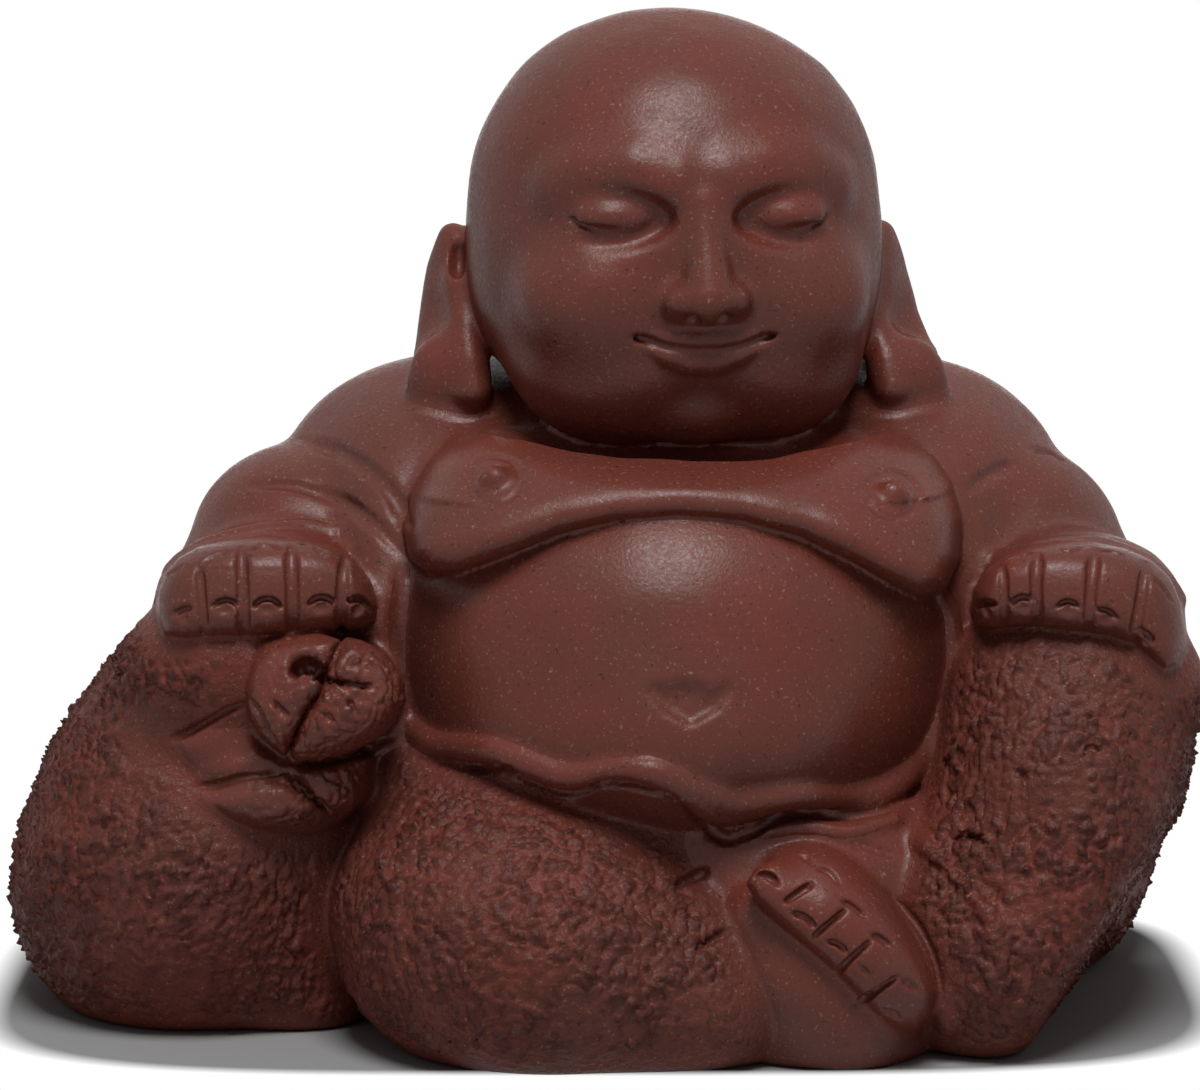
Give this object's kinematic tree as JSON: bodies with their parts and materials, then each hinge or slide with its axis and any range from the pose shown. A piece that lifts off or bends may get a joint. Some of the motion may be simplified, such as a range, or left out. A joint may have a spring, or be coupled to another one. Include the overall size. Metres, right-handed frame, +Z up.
{
  "type": "laughing buddha statue",
  "caption": "Seated laughing monk in unglazed red-brown clay, bare belly in an open robe, one knee raised, a sack under the right hand.",
  "frame": {"origin": "centre of the footprint, on the surface that the figure stands on", "axes": "+Z up, the figure looks along -Y, +X to the viewer's right when facing the figure"},
  "size_m": [0.0946, 0.0738, 0.079],
  "materials": {
    "burnished_clay": "unglazed, burnished to a satin, with fine sand in it",
    "pecked_clay": "unglazed, pecked and dragged with a tool to a coarse cloth-like texture"
  },
  "bodies": {
    "root": {"trunk": "burnished_clay", "floor_disc": "burnished_clay", "head": "burnished_clay", "right_ear": "burnished_clay", "left_ear": "burnished_clay", "robe_edge": "burnished_clay", "mantle": "burnished_clay", "right_sleeve": "burnished_clay", "left_sleeve": "burnished_clay", "right_hand": "burnished_clay", "left_hand": "burnished_clay", "folded_leg": "pecked_clay", "foot": "burnished_clay", "raised_leg": "pecked_clay", "lap_fold": "burnished_clay", "sack_mouth": "burnished_clay", "sack": "pecked_clay", "skirt": "pecked_clay"}
  },
  "joints": []
}
